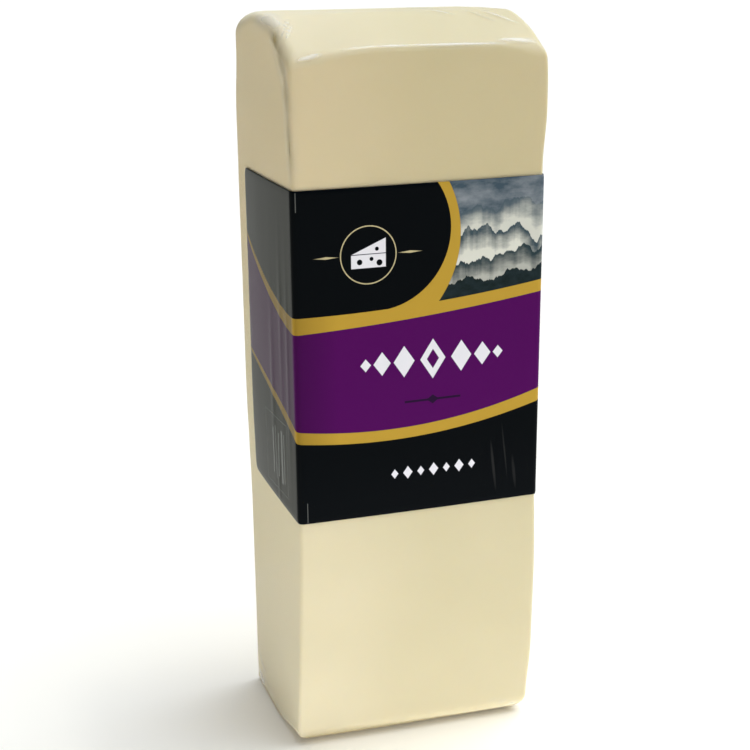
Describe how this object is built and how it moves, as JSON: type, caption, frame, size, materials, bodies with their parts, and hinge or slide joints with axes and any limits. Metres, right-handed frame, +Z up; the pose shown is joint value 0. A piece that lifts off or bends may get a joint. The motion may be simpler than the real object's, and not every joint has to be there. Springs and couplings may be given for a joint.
{
  "type": "goat cheese block",
  "caption": "Long upright block of fresh white cheese, sealed in clear shrink film, with a printed label round its middle on the front and both sides.",
  "frame": {"origin": "middle of the block's box on the surface that it stands on", "axes": "+Z up along the block's length, -Y out of the front that carries the middle of the label, +X to the viewer's right"},
  "size_m": [0.1064, 0.0776, 0.3024],
  "materials": {
    "cheese": "fresh cream-white cheese, smooth and a little moist under the film",
    "film": "thin clear shrink film, glossy, with fine creases at the ends",
    "label": "glossy printed label in black, violet and gold"
  },
  "bodies": {
    "root": {"wrapped_cheese": "cheese", "label": "label"}
  },
  "joints": []
}
